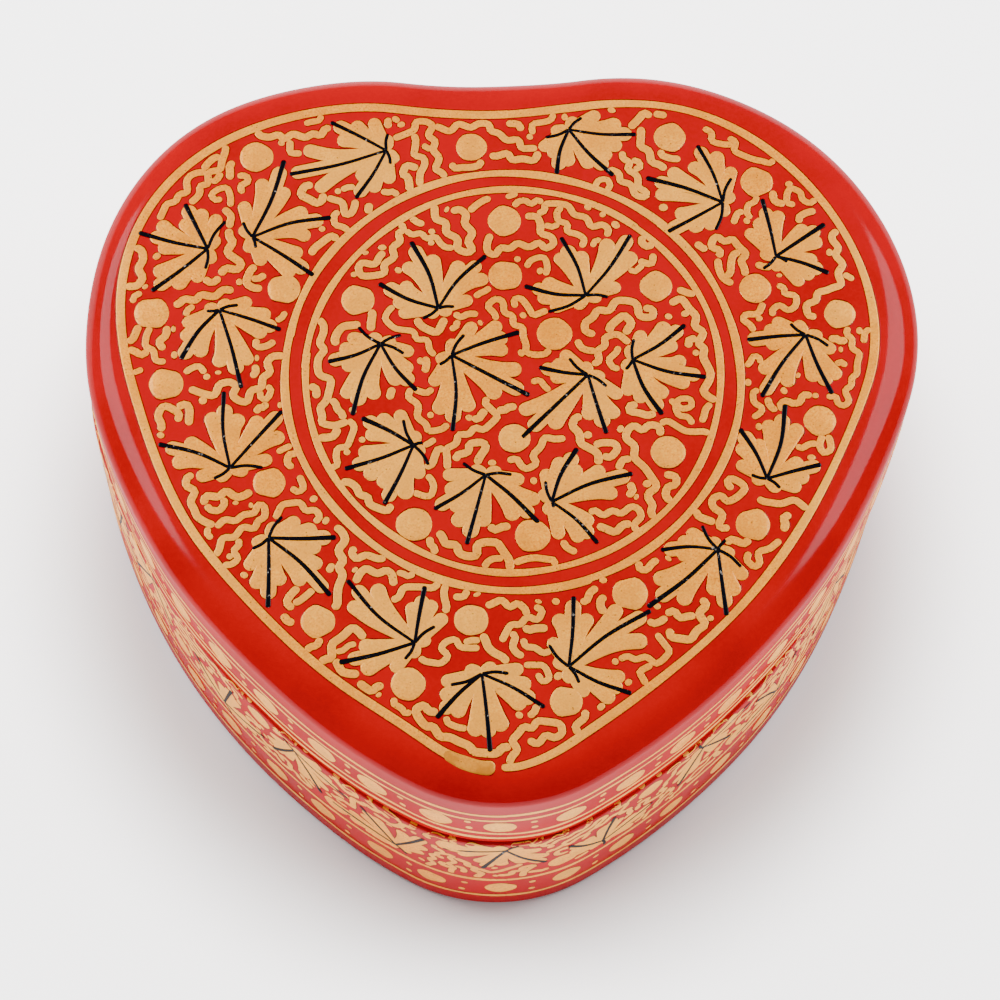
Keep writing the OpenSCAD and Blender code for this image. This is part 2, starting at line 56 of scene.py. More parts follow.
print("frame loaded:", len(frame["nodes"]), "nodes")


# ---- camera and light ----

cameraSetup = {
    "target": (1.3 * mm, 7.7 * mm, 0.0),
    "distance": 592.4 * mm,
    "elevation": 68.47,
    "azimuth": -3.03,
    "roll": 2.33,
    "lens": 125.7,
}


def addCamera(setup):
    elevation, azimuth, roll = (math.radians(setup[key]) for key in ("elevation", "azimuth", "roll"))
    back = Vector(
        (math.sin(azimuth) * math.cos(elevation), -math.cos(azimuth) * math.cos(elevation), math.sin(elevation))
    )
    right = Vector((math.cos(azimuth), math.sin(azimuth), 0))
    up = back.cross(right)
    place = Vector(setup["target"]) + back * setup["distance"]
    bpy.ops.object.camera_add(location=place)
    camera = bpy.context.object
    camera.name = "camera"
    tiltedRight = right * math.cos(roll) + up * math.sin(roll)
    tiltedUp = up * math.cos(roll) - right * math.sin(roll)
    turn = Matrix((tiltedRight, tiltedUp, back)).transposed().to_4x4()
    camera.matrix_world = Matrix.Translation(place) @ turn
    camera.data.lens = setup["lens"]
    camera.data.sensor_width = 36
    camera.data.clip_end = 20
    bpy.context.scene.camera = camera


def addLight(name, place, size, power):
    bpy.ops.object.light_add(type="AREA", location=place)
    light = bpy.context.object
    light.name = name
    light.rotation_euler = (-Vector(place)).to_track_quat("-Z", "Y").to_euler()
    light.data.shape = "DISK"
    light.data.size = size
    light.data.energy = power


addCamera(cameraSetup)


# ---- shader graph helpers ----


class Signal:  # a socket that takes part in sums and products
    def __init__(self, finish, socket):
        self.finish = finish
        self.socket = socket

    def math(self, operation, *others):
        return self.finish.add("ShaderNodeMath", {"operation": operation}, {0: self, **dict(enumerate(others, 1))})

    def __add__(self, other):
        return self.math("ADD", other)

    def __sub__(self, other):
        return self.math("SUBTRACT", other)

    def __mul__(self, other):
        return self.math("MULTIPLY", other)

    def __rsub__(self, other):
        return self.finish.add("ShaderNodeMath", {"operation": "SUBTRACT"}, {0: other, 1: self})

    def band(self, low, high):  # 0 below low, 1 above high, and smooth between
        settings = {"interpolation_type": "SMOOTHSTEP"}
        return self.finish.add("ShaderNodeMapRange", settings, {"Value": self, "From Min": low, "From Max": high})

    __radd__ = __add__
    __rmul__ = __mul__


class Finish:  # one material, built from its surface back to its patterns
    def __init__(self, name, **surface):
        self.material = bpy.data.materials.new(name)
        self.material.use_nodes = True
        self.nodes = self.material.node_tree.nodes
        self.links = self.material.node_tree.links
        self.surface = self.nodes["Principled BSDF"]
        self.set(**surface)
        self.place = self.add("ShaderNodeTexCoord", {}, {}, "Object")

    def add(self, kind, settings, inputs, output=0):
        node = self.nodes.new(kind)
        for key, value in settings.items():
            if key == "stops":
                self.setStops(node.color_ramp, value)
            else:
                setattr(node, key, value)
        for key, value in inputs.items():
            self.feed(node.inputs[key], value)
        return Signal(self, node.outputs[output])

    def feed(self, socket, value):
        if isinstance(value, Signal):
            self.links.new(value.socket, socket)
        else:
            socket.default_value = value

    def setStops(self, ramp, stops):
        while len(ramp.elements) < len(stops):
            ramp.elements.new(1)
        for element, (position, colour) in zip(ramp.elements, stops):
            element.position = position
            element.color = (*colour, 1)

    def set(self, **inputs):
        for key, value in inputs.items():
            self.feed(self.surface.inputs[key.replace("_", " ")], value)

    def noise(self, size, detail=2.0, roughness=0.5):  # size in metres
        inputs = {"Vector": self.place, "Scale": 1 / size, "Detail": detail, "Roughness": roughness}
        return self.add("ShaderNodeTexNoise", {}, inputs, "Fac")

    def cells(self, size):
        return self.add("ShaderNodeTexVoronoi", {}, {"Vector": self.place, "Scale": 1 / size}, "Distance")

    def ramp(self, value, *stops):
        return self.add("ShaderNodeValToRGB", {"stops": stops}, {"Fac": value}, "Color")

    def mix(self, factor, first, second):
        settings = {"data_type": "RGBA"}
        first, second = ((*c, 1) if isinstance(c, tuple) else c for c in (first, second))
        return self.add("ShaderNodeMix", settings, {"Factor": factor, 6: first, 7: second}, 2)

    def bump(self, height, distance):
        return self.add("ShaderNodeBump", {}, {"Height": height, "Distance": distance, "Strength": 1.0}, "Normal")


def rgb(red, green, blue):  # a colour as seen on screen, 0 to 255
    return tuple(((c / 255 + 0.055) / 1.055) ** 2.4 if c > 10 else c / 255 / 12.92 for c in (red, green, blue))


gloss = {"Roughness": 0.4, "Specular_IOR_Level": 0.0, "Coat_Weight": 0.22, "Coat_Roughness": 0.1, "Coat_IOR": 1.5}


def lacquerRed():
    finish = Finish("lacquerRed", **gloss)
    cloud = finish.noise(14 * mm, 3).band(0.35, 0.7)
    fine = finish.noise(0.7 * mm, 2).band(0.3, 0.75)
    red = finish.mix(cloud, rgb(176, 0, 12), rgb(162, 0, 10))
    red = finish.mix(fine * 0.25, red, rgb(190, 0, 14))
    unevenness = finish.noise(9 * mm, 2) + finish.noise(1.6 * mm, 1) * 0.06
    finish.set(Base_Color=red, Normal=finish.bump(unevenness, 0.12 * mm))
    return finish.material


def goldPaint(name="goldPaint", thickness=0.0):  # thick paint dries darker
    finish = Finish(name, Metallic=0.15, **gloss)
    grain = finish.noise(0.35 * mm, 3, 0.7)
    patches = finish.noise(3.2 * mm, 3, 0.6).band(0.36, 0.66)
    broad = finish.noise(30 * mm, 1).band(0.35, 0.65)
    specks = finish.cells(0.8 * mm).band(0.2, 0.06) * finish.noise(3 * mm, 1).band(0.46, 0.58)
    smudges = finish.noise(1.3 * mm, 3, 0.7).band(0.62, 0.74)
    gold = finish.ramp(grain, (0.3, rgb(208, 120, 18)), (0.5, rgb(248, 152, 28)), (0.72, rgb(255, 184, 60)))
    gold = finish.mix(patches * 0.55, gold, rgb(214, 130, 28))
    gold = finish.mix(broad * 0.3, gold, rgb(255, 192, 84))
    gold = finish.mix(smudges * 0.5, gold, rgb(176, 100, 22))
    gold = finish.mix(specks * 0.85, gold, rgb(120, 70, 18))
    gold = finish.mix(patches * thickness * 0.5 + thickness * 0.7, gold, rgb(176, 104, 22))
    relief = grain * 0.4 + patches
    finish.set(Base_Color=gold, Normal=finish.bump(relief, 0.015 * mm))
    return finish.material


def shadePaint():  # the dark rim round each gold stroke: the paint's bleed, with a painted shadow at its raised edge
    finish = Finish("shadePaint", **gloss)
    fade = finish.noise(1.2 * mm, 2).band(0.3, 0.7)
    finish.set(Base_Color=finish.mix(fade, rgb(84, 6, 0), rgb(130, 8, 0)))
    return finish.material


def blackEnamel():
    finish = Finish("blackEnamel", **gloss)
    scuffs = finish.noise(0.8 * mm, 3, 0.7).band(0.6, 0.7) * finish.noise(5 * mm, 1).band(0.46, 0.56)
    finish.set(Base_Color=finish.mix(scuffs * 0.6, rgb(8, 8, 14), rgb(190, 180, 170)))
    finish.set(Normal=finish.bump(finish.noise(1.2 * mm), 0.02 * mm))
    return finish.material


paints = {
    "red": lacquerRed(),
    "gold": goldPaint(),
    "bronze": goldPaint("bronzePaint", 0.7),
    "shade": shadePaint(),
    "black": blackEnamel(),
}


# ---- the heart's outline ----

heart = {"lobe": 43.8, "side": 107.0, "tip": 28.0, "notch": 89.0, "turn": math.radians(-17)}
lobeX = baseHigh.x / mm - heart["lobe"]
lobeY = baseHigh.y / mm - heart["lobe"]
heartMiddle = (0.0, 3.4)

# where the hand-made shells bulge or sink: direction in degrees, depth in mm, spread in degrees
lidDents = (
    (166, -1.0, 10), (137, 0.4, 8), (118, -0.5, 8), (86, 0.3, 7), (52, -0.3, 8), (6, 1.2, 13), (-26, 0.5, 11),
    (-150, 0.4, 9), (-112, 0.35, 9),
)
baseDents = ((-170, -0.15, 9), (-108, 0.3, 8), (-40, 0.2, 9), (-12, -0.25, 8), (178, -0.2, 9))
borderDents = (
    (176, -0.7, 9), (147, 1.2, 12), (122, -0.4, 8), (-155, 0.6, 9), (-108, -0.3, 6), (-91, 1.4, 6),
    (-66, -0.6, 12), (5, 0.6, 8), (34, -0.8, 11), (58, 0.3, 7), (77, 0.4, 6),
)


def arcPoints(centre, radius, start, end, count):
    turns = np.linspace(start, end, count, endpoint=False)
    return np.stack([centre[0] + radius * np.cos(turns), centre[1] + radius * np.sin(turns)], 1)


def evenly(points, count, closed=True):  # the same line, with its points at equal steps
    line = np.vstack([points, points[:1]]) if closed else np.asarray(points, float)
    run = np.concatenate([[0], np.cumsum(np.hypot(*np.diff(line, axis=0).T))])
    at = np.linspace(0, run[-1], count, endpoint=not closed)
    return np.stack([np.interp(at, run, line[:, 0]), np.interp(at, run, line[:, 1])], 1), run[-1]


def outward(ring):  # unit normals of an anticlockwise ring
    along = np.roll(ring, -1, 0) - np.roll(ring, 1, 0)
    along /= np.hypot(*along.T)[:, None]
    return np.stack([along[:, 1], -along[:, 0]], 1)


def heartRing(inset, count, dents=()):
    lobe = np.array([lobeX, lobeY])
    side = lobe - (heart["side"] - heart["lobe"]) * np.array([math.cos(heart["turn"]), math.sin(heart["turn"])])
    tip = np.array([0, side[1] - math.sqrt((heart["side"] - heart["tip"]) ** 2 - side[0] ** 2)])
    notch = np.array([0, lobe[1] + math.sqrt((heart["lobe"] + heart["notch"]) ** 2 - lobe[0] ** 2)])
    sideEnd = math.atan2(tip[1] - side[1], -side[0])
    notchEnd = math.atan2(lobe[1] - notch[1], lobe[0])
    half = np.vstack([
        arcPoints(tip, heart["tip"] - inset, -math.pi / 2, sideEnd, 40),
        arcPoints(side, heart["side"] - inset, sideEnd, heart["turn"], 90),
        arcPoints(lobe, heart["lobe"] - inset, heart["turn"], notchEnd + math.pi, 140),
        arcPoints(notch, heart["notch"] + inset, notchEnd, -math.pi / 2, 30),
    ])
    other = half[:0:-1] * (-1, 1)
    top = [[0, notch[1] - heart["notch"] - inset]]
    ring, _ = evenly(np.vstack([half, top, other]), count)
    turns = np.degrees(np.arctan2(ring[:, 1] - heartMiddle[1], ring[:, 0] - heartMiddle[0]))
    push = np.zeros(count)
    for at, depth, spread in dents:
        push += depth * np.exp(-(((turns - at + 180) % 360 - 180) ** 2) / (2 * spread**2))
    return ring + outward(ring) * push[:, None]


# ---- shells ----


def ringPiece(points, z):  # a circle primitive, shaped to the heart
    bpy.ops.mesh.primitive_circle_add(vertices=len(points), radius=60 * mm, fill_type="NOTHING")
    piece = bpy.context.object
    for vertex, (x, y) in zip(piece.data.vertices, points):
        vertex.co = (x * mm, y * mm, z * mm)
    return piece


def selectRings(piece, first, second, count):
    bpy.ops.mesh.select_all(action="DESELECT")
    bpy.ops.object.mode_set(mode="OBJECT")
    for ring in {first, second}:
        for vertex in piece.data.vertices[ring * count : (ring + 1) * count]:
            vertex.select = True
    bpy.ops.object.mode_set(mode="EDIT")
    bpy.ops.mesh.select_mode(type="VERT")


def shell(name, rings, heights, closed=False):  # neighbouring rings are bridged, and the ends capped
    count = len(rings[0])
    pieces = [ringPiece(ring, z) for ring, z in zip(rings, heights)]
    bpy.ops.object.select_all(action="DESELECT")
    for piece in pieces:
        piece.select_set(True)
    bpy.context.view_layer.objects.active = pieces[0]
    bpy.ops.object.join()
    piece = bpy.context.object
    piece.name = name
    bpy.ops.object.mode_set(mode="EDIT")
    bpy.ops.mesh.select_mode(type="VERT")
    last = len(rings) - 1
    for k in range(last):
        selectRings(piece, k, k + 1, count)
        bpy.ops.mesh.bridge_edge_loops()
    if closed:
        selectRings(piece, last, 0, count)
        bpy.ops.mesh.bridge_edge_loops()
    else:
        for k in (0, last):
            selectRings(piece, k, k, count)
            bpy.ops.mesh.edge_face_add()
            bpy.ops.mesh.poke()
    bpy.ops.mesh.select_all(action="SELECT")
    bpy.ops.mesh.normals_make_consistent(inside=False)
    bpy.ops.object.mode_set(mode="OBJECT")
    bpy.ops.object.shade_smooth_by_angle(angle=math.radians(40))
    return piece


dentsEnd = (1.0, 7.0)  # mm in from the edge: the dents are whole up to the first, and gone at the second
lidShape = {
    "inset": 0.1, "slope": math.radians(50), "slopeRadius": 5.6, "turnRadius": 2.2, "shoulder": 5, "lip": 0.5,
    "wall": 3.0, "roof": 3.5, "flat": 7.2, "around": 360,
}
baseShape = {"proud": 0.25, "rim": 0.9, "foot": 0.7, "wall": 3.45, "steps": 5, "around": 360}


def lidProfile(shape):  # inset and height, from the roof inside to the middle of the top
    bottom, top = lidLow.z / mm, topZ / mm
    profile = [(shape["wall"] + 0.1, top - shape["roof"]), (shape["wall"], bottom + 0.1)]
    profile += [(shape["inset"] + shape["lip"], bottom), (shape["inset"] + 0.12, bottom + 0.25)]
    profile += [(shape["inset"], bottom + 0.8), (shape["inset"], top - shape["shoulder"])]
    tilt, soft, tight = shape["slope"], shape["slopeRadius"], shape["turnRadius"]
    start = shape["inset"] + tight * (1 - math.sin(tilt)) + soft * math.sin(tilt)  # where the top starts to fall away
    for k in range(5):  # a tight turn up out of the wall
        turn = math.pi / 2 + (tilt - math.pi / 2) * (k + 0.1) / 5
        fall = soft * (1 - math.cos(tilt)) + tight * (math.cos(tilt) - math.cos(turn))
        profile.append((shape["inset"] + tight * (1 - math.sin(turn)), top - fall))
    for k in range(9):  # and a soft one over onto the top
        turn = tilt * (1 - k / 8)
        profile.append((start - soft * math.sin(turn), top - soft * (1 - math.cos(turn))))
    profile.append((shape["flat"], top))
    return profile


def baseProfile(shape):  # a closed section, from the foot's inside edge round to it again
    top = rimZ / mm
    out = -shape["proud"]
    profile = [(shape["wall"], 0.0), (shape["foot"], 0.0), (out + 0.2, 0.3), (out, 1.0), (out, top - shape["rim"])]
    for k in range(1, shape["steps"] + 1):
        turn = math.pi / 2 * k / shape["steps"]
        profile.append((out + shape["rim"] * (1 - math.cos(turn)), top - shape["rim"] * (1 - math.sin(turn))))
    return profile + [(shape["wall"], top)]


def addShell(name, node, body, profile, dents, around, closed):
    whole, gone = dentsEnd
    fade = [min(1, max(0, (gone - inset) / (gone - whole))) for inset, _ in profile]
    rings = [
        heartRing(inset, around, [(at, depth * left, spread) for at, depth, spread in dents])
        for (inset, _), left in zip(profile, fade)
    ]
    piece = shell(name, rings, [z for _, z in profile], closed)
    piece.data.materials.append(paints["red"])
    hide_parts(node)
    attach(piece, body)


addShell("lidLacquer", "lid_shell", "lid", lidProfile(lidShape), lidDents, lidShape["around"], False)
addShell("baseLacquer", "base_shell", "box", baseProfile(baseShape), baseDents, baseShape["around"], True)
print("shells built")


# ---- brush strokes ----


def smooth(points, step=0.6):  # a soft line through given points
    line = np.asarray(points, float)
    if len(line) < 3:
        return line
    ends = np.vstack([2 * line[0] - line[1], line, 2 * line[-1] - line[-2]])
    parts = []
    for a, b, c, d in zip(ends, ends[1:], ends[2:], ends[3:]):
        count = max(2, int(np.hypot(*(c - b)) / step))
        t = np.linspace(0, 1, count, endpoint=False)[:, None]
        parts.append(0.5 * (2 * b + (c - a) * t + (2 * a - 5 * b + 4 * c - d) * t**2 + (3 * b - a - 3 * c + d) * t**3))
    return np.vstack(parts + [line[-1:]])


def cutCorners(points):  # a zigzag with each corner just taken off
    line = np.asarray(points, float)
    for _ in range(2):
        if len(line) > 2:
            near = line[:-1] + (line[1:] - line[:-1]) * 0.2
            far = line[:-1] + (line[1:] - line[:-1]) * 0.8
            middle = np.stack([near, far], 1).reshape(-1, 2)
            line = np.vstack([line[:1], middle[1:-1], line[-1:]])
    return line


def brush(points, width, step=0.6, swell=None, angular=False):  # a round-ended stroke: its points and half-widths
    line = cutCorners(points) if angular else smooth(points, step)
    run = np.concatenate([[0], np.cumsum(np.hypot(*np.diff(line, axis=0).T))])
    length, half = run[-1], width / 2
    end = min(half, length / 2)
    inner = np.linspace(end, length - end, max(2, int((length - 2 * end) / step) + 1))
    ends = end * np.array([0.03, 0.14, 0.4, 0.7])
    at = np.unique(np.round(np.concatenate([ends, inner, length - ends[::-1]]), 3))
    near = np.minimum(at, length - at) / end
    radii = half * np.sqrt(np.clip(1 - (1 - np.clip(near, 0, 1)) ** 2, 0.002, 1))
    if swell:
        radii = radii * swell(at / length)
    return np.stack([np.interp(at, run, line[:, 0]), np.interp(at, run, line[:, 1])], 1), radii


def disc(x, y, radius, along=(1, 0), count=11, stretch=1.0):  # a dot, as one short stroke whose sides are round
    turns = np.linspace(math.pi * 0.96, math.pi * 0.04, count)
    wobble = 1 + 0.06 * np.sin(turns * 3 + x * 7 + y * 5) + 0.04 * np.sin(turns * 5 + x * 3)
    reach = radius * stretch * np.cos(turns)
    points = np.array([x, y]) + reach[:, None] * np.array(along)
    return points, radius * np.sin(turns) * wobble


def paintPiece(name, strokes, material, lift, relief, spread=0.0):
    bpy.ops.curve.primitive_bezier_circle_add(radius=mm)
    brushTip = bpy.context.object
    brushTip.data.splines.clear()
    section = brushTip.data.splines.new("POLY")
    shape = [(-1, -0.4), (-0.93, 0.5), (-0.7, 1), (0.7, 1), (0.93, 0.5), (1, -0.4)]
    section.points.add(len(shape) - 1)
    for point, (x, y) in zip(section.points, shape):
        point.co = (x * mm, y * relief * mm, 0, 1)
    section.use_cyclic_u = True
    bpy.ops.curve.primitive_bezier_curve_add()
    piece = bpy.context.object
    piece.name = name
    curve = piece.data
    curve.splines.clear()
    curve.twist_mode = "Z_UP"
    curve.bevel_mode = "OBJECT"
    curve.bevel_object = brushTip
    curve.use_fill_caps = True
    layer = random.Random(len(strokes))
    for points, radii in strokes:
        spline = curve.splines.new("POLY")
        spline.points.add(len(points) - 1)
        z = lift + layer.uniform(0, 0.008)
        climb = np.linspace(z, z + 0.01, len(points))  # so a stroke that crosses itself lies on itself
        for point, (x, y), z, radius in zip(spline.points, points, climb, radii):
            point.co = (x * mm, y * mm, z * mm, 1)
            point.radius = radius + spread
    bpy.ops.object.convert(target="MESH")
    piece = bpy.context.object
    bpy.data.objects.remove(brushTip)
    piece.data.materials.clear()
    piece.data.materials.append(material)
    bpy.ops.object.shade_smooth_by_angle(angle=math.radians(50))
    return piece


# ---- a canvas remembers what is painted, so that squiggles fill only bare lacquer ----


class Canvas:
    def __init__(self, low, high, allowed, wraps=False, cell=0.2):
        self.low, self.cell, self.wraps = np.array(low, float), cell, wraps
        self.size = np.ceil((np.array(high) - self.low) / cell).astype(int)
        grid = [self.low[k] + (np.arange(self.size[k]) + 0.5) * cell for k in (0, 1)]
        x, y = np.meshgrid(*grid, indexing="ij")
        self.painted = ~allowed(x, y)

    def window(self, x, y, radius):
        reach = int(radius / self.cell) + 1
        i, j = int((x - self.low[0]) / self.cell), int((y - self.low[1]) / self.cell)
        rows, columns = np.arange(i - reach, i + reach + 1), np.arange(j - reach, j + reach + 1)
        if self.wraps:
            rows = rows % self.size[0]
        steps = np.arange(-reach, reach + 1) ** 2
        near = (steps[:, None] + steps) * self.cell**2 <= radius**2
        inside = ((rows >= 0) & (rows < self.size[0]))[:, None] & ((columns >= 0) & (columns < self.size[1]))
        rows, columns = np.clip(rows, 0, self.size[0] - 1), np.clip(columns, 0, self.size[1] - 1)
        return np.ix_(rows, columns), near, inside

    def mark(self, strokes):
        for points, radii in strokes:
            for (x, y), radius in zip(points, radii):
                place, near, inside = self.window(x, y, max(radius, self.cell))
                self.painted[place] |= near & inside

    def bare(self, x, y, radius):
        place, near, inside = self.window(x, y, radius)
        return not (self.painted[place] & near).any() and bool((inside | ~near).all())

    def nearest(self, x, y, reach):  # the closest paint, looking in sixteen directions
        for distance in np.arange(0.4, reach, 0.3):
            for k in range(16):
                turn = k * math.pi / 8
                spot = (x + distance * math.cos(turn), y + distance * math.sin(turn))
                if not self.bare(*spot, 0.05):
                    return spot
        return None


squiggle = {"width": 1.22, "gap": 0.3, "leg": (1.4, 2.3), "legs": 13, "tie": 0.9, "reach": 2.6, "tries": 5}
shortSquiggle = {"width": 1.15, "gap": 0.24, "leg": (1.5, 2.3), "legs": 3, "tie": 0.95, "reach": 2.8, "tries": 4}
branch = {"width": 1.1, "gap": 0.22, "leg": (1.0, 1.8), "legs": 1, "tie": 0.95, "reach": 2.8, "tries": 3}


def growSquiggle(canvas, start, style, hand):  # zigzags away from start until it runs out of bare lacquer
    room = style["width"] / 2 + style["gap"]
    path, heading, turn = [np.array(start)], hand.uniform(0, 2 * math.pi), hand.choice((-1, 1))
    for _ in range(style["legs"]):
        for attempt in range(10):
            swing = heading + turn * math.radians(hand.uniform(58, 94)) + (attempt // 3) * hand.uniform(-1.5, 1.5)
            leg = hand.uniform(*style["leg"]) * (1 if attempt < 5 else 0.7)
            step = leg * np.array([math.cos(swing), math.sin(swing)])
            samples = [path[-1] + step * t for t in (0.35, 0.7, 1.0)]
            free = all(canvas.bare(*spot, room) for spot in samples)
            free = free and (len(path) < 2 or math.cos(swing - heading) > -0.06)
            apart = style["leg"][0] * 0.8
            clear = all(np.hypot(*(spot - old)) > apart for spot in samples[1:] for old in path[:-1])
            if free and clear:
                break
        else:
            break
        path.append(path[-1] + step)
        heading, turn = swing, -turn
    return path


def foldsBack(path, end, spot):  # would going on to spot turn the brush sharply back
    if len(path) < 2:
        return False
    before = path[end] - path[end - 1] if end else path[0] - path[1]
    after = np.array(spot) - path[end]
    return np.dot(before, after) < -0.05 * np.hypot(*before) * np.hypot(*after)


def fillWithSquiggles(canvas, spots, style, hand):
    strokes = []
    for x, y in spots:
        if not canvas.bare(x, y, style["width"] / 2 + style["gap"]):
            continue
        path = max((growSquiggle(canvas, (x, y), style, hand) for _ in range(style["tries"])), key=len)
        for end in (-1, 0):
            tie = canvas.nearest(*path[end], style["reach"])
            if tie and (hand.random() < style["tie"] or len(path) < 2) and not foldsBack(path, end, tie):
                path.insert(0 if end == 0 else len(path), np.array(tie))
        if len(path) > 1 and np.hypot(*(path[-1] - path[0])) > 0.3:
            strokes.append(brush(path, style["width"] * hand.uniform(0.85, 1.12), 0.5, angular=True))
            canvas.mark(strokes[-1:])
    return strokes


def fillWithDabs(canvas, spots, hand, room=0.92):  # short touches in what is still bare
    strokes = []
    for x, y in spots:
        if canvas.bare(x, y, room):
            turn = hand.uniform(0, math.pi)
            along = (math.cos(turn), math.sin(turn))
            strokes.append(disc(x, y, hand.uniform(0.5, 0.65), along, 7, hand.uniform(1, 1.5)))
            canvas.mark(strokes[-1:])
    return strokes


def fillBare(canvas, spots, hand):
    strokes = fillWithSquiggles(canvas, spots, squiggle, hand)
    strokes += fillWithSquiggles(canvas, spots, shortSquiggle, hand)
    strokes += fillWithSquiggles(canvas, spots, branch, hand)
    return strokes + fillWithDabs(canvas, spots, hand)


# ---- leaves ----

leafShape = {"finger": 2.3, "fan": 14.5, "reach": (0.82, 0.97, 0.82), "outer": 35, "vein": 0.64, "foot": 0.54}


def polar(hub, turn, reach):
    return np.array([hub[0] + reach * math.cos(math.radians(turn)), hub[1] + reach * math.sin(math.radians(turn))])


def fanEnds(turns):  # the first and last direction of a fan that may cross the half-turn
    turns = sorted(turns)
    if turns[-1] - turns[0] > 180:
        turns = sorted(turn % 360 for turn in turns)
    return turns[0], turns[-1]


def leafStrokes(hub, veins, feet, hand, size=1.0):  # gold fingers round each vein, then the veins themselves
    gold, black = [], []
    shape = leafShape
    for turn, length in veins:
        bend = hand.uniform(-7, 7)
        for side, share in zip((-1, 0, 1), shape["reach"]):
            aim = turn + side * (shape["fan"] + hand.uniform(-3, 3))
            tip = polar(hub, aim, length * share * hand.uniform(0.86, 1.05))
            middle = polar(hub, turn + side * shape["fan"] * 0.75 + bend * 0.6, length * 0.5)
            swell = lambda t: 0.7 + 0.36 * np.clip(t * 1.6, 0, 1)
            gold.append(brush([hub, middle, tip], shape["finger"] * size * hand.uniform(0.93, 1.08), 0.5, swell))
        tip = polar(hub, turn, length * 1.02)
        middle = polar(hub, turn + bend, length * 0.5)
        thickness = lambda t: 0.78 + 0.42 * t
        black.append(brush([hub, middle, tip], shape["vein"] * size * hand.uniform(0.9, 1.1), 0.5, thickness))
    for edge, side in zip(fanEnds([turn for turn, _ in veins]), (-1, 1)):
        outer, inner = hand.uniform(5.2, 6.6), hand.uniform(2.2, 2.9)
        for aim, reach in ((shape["outer"], outer), (shape["outer"] + 32, inner)):
            tip = polar(hub, edge + side * (aim + hand.uniform(-4, 4)), reach * size)
            gold.append(brush([hub, tip], shape["finger"] * 0.95 * size, 0.5))
    for turn, length in feet:
        middle, tip = polar(hub, turn + 8, length * 0.5), polar(hub, turn, length)
        black.append(brush([hub, middle, tip], shape["foot"] * size, 0.4))
    return gold, black


# hub, then the direction in degrees and length in mm of each vein and of the short strokes at the hub
innerLeaves = (
    ((-9, 17.5), ((110, 12), (50, 11.5), (155, 10)), ((-145, 3), (5, 2.5))),
    ((14, 19.5), ((110, 10.5), (55, 12.5), (170, 9.5)), ((-155, 6.5), (-5, 3.5))),
    ((-18, 11.5), ((-160, 8.5), (-110, 12.5), (-55, 9.5)), ((140, 4.5), (-25, 4), (25, 3.5))),
    ((-7, 9.5), ((20, 11), (-30, 13.5), (-90, 12.5)), ((-140, 2.5), (60, 4))),
    ((14, 6), ((170, 7.5), (-135, 14.5), (-75, 10)), ((-35, 3.5), (135, 4))),
    ((21, 8.5), ((35, 10), (-15, 11.5), (-65, 10)), ((85, 3.5), (-125, 2))),
    ((-13, -5.5), ((150, 9), (-160, 11), (-115, 10.5)), ((110, 4.5), (-55, 4), (15, 1.5))),
    ((-2, -10.5), ((-145, 9.5), (-105, 11.5), (-45, 11)), ((150, 4), (0, 4))),
    ((8, -15), ((65, 9.5), (20, 13), (-45, 9.5)), ((105, 3.5), (-75, 1))),
)
outerLeaves = (
    ((-17, 45), ((150, 10), (-165, 15.5), (-120, 9.5)), ((85, 3), (-75, 2.5))),
    ((-38, 30), ((70, 14), (15, 12.5), (-35, 11.5)), ((120, 3), (-75, 2))),
    ((-45, 28), ((115, 8.5), (165, 11), (-140, 11)), ((60, 5.5), (-95, 3.5))),
    ((-43, 17.5), ((-125, 10), (-75, 13.5), (-20, 10)), ((-175, 2), (15, 3))),
    ((-41, -9), ((95, 12.5), (50, 12), (160, 11.5)), ((-145, 3), (0, 5))),
    ((-35, -20.5), ((0, 10), (-45, 13), (-90, 11)), ((60, 4), (-145, 3))),
    ((-13, -37.5), ((135, 14), (80, 9), (-165, 11.5)), ((-120, 3), (40, 4))),
    ((-3, -42.5), ((-135, 9.5), (-85, 12), (-30, 10.5)), ((-160, 5), (0, 4))),
    ((10, -41.5), ((85, 11), (35, 15), (-25, 10)), ((130, 4.5), (-60, 3))),
    ((33, -23), ((180, 8.5), (-140, 14), (-85, 10.5)), ((120, 4.5), (50, 2), (-40, 4.5))),
    ((41, -11.5), ((115, 9), (75, 12.5), (15, 8.5)), ((165, 2.5), (-40, 2.5))),
    ((48, 12.5), ((-175, 9), (-125, 12.5), (-70, 10.5)), ((-30, 4), (140, 3))),
    ((44, 26), ((100, 10), (35, 9.5), (-20, 8.5)), ((-135, 3), (-30, 2))),
    ((36, 35.5), ((110, 10.5), (160, 12.5), (-150, 10)), ((70, 4.5), (-105, 5))),
    ((12, 48.5), ((-5, 10.5), (-50, 10.5), (-105, 8)), ((-160, 4), (45, 3))),
)
innerDots = ((1.5, 32.5), (1.5, 23), (-21.5, 19), (9, 13), (25, 21), (2.5, -4.5), (26, -7), (-13, -18.5), (5, -20.5))
outerDots = (
    (-37.5, 44), (-53.5, 17), (-33, 21), (-51, 5), (-3.5, 45.5), (-35, -11.5), (-27.5, -34), (-14, -44), (-4.5, -34),
    (9.5, -47), (19.5, -30), (38.5, -19), (49.5, -2), (28, 47), (41.5, 39), (40.5, 20.5), (53.5, 16),
)
topDesign = {
    "border": 6.5, "borderWidth": 1.55, "ringCentre": (2.4, 5.8), "rings": ((35.1, 1.25), (32.1, 1.1)), "dot": 2.62,
}


